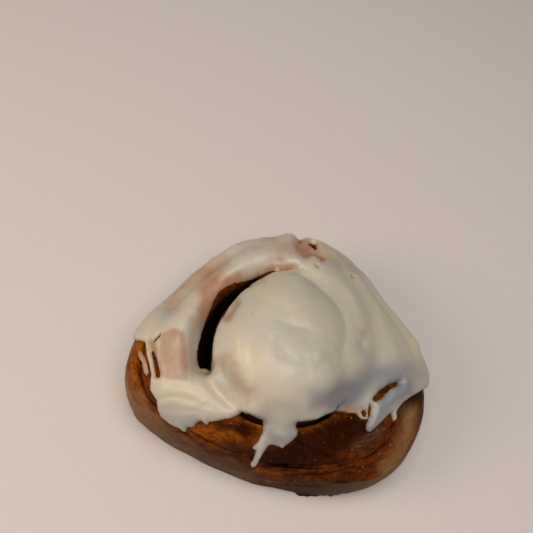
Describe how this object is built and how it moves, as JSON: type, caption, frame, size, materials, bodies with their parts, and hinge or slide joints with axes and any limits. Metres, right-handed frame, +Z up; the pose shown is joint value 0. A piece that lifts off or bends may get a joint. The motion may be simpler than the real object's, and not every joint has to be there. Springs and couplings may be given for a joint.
{
  "type": "cinnamon roll",
  "caption": "Iced cinnamon roll: a spiral of dough over cinnamon filling, risen to a round knob, with icing draped over the top that drips at the front.",
  "frame": {"origin": "centre of the bounding box in plan, at the height of the surface it rests on", "axes": "+Z up; +X along the roll's longer side; -Y is the side that was against the tin's wall, where the icing drips"},
  "size_m": [0.1026, 0.0912, 0.052],
  "materials": {
    "baked_dough": "matte",
    "cinnamon": "satin",
    "icing": "satin"
  },
  "bodies": {
    "root": {"dough": "baked_dough", "cinnamon_filling": "cinnamon", "icing": "icing"}
  },
  "joints": []
}
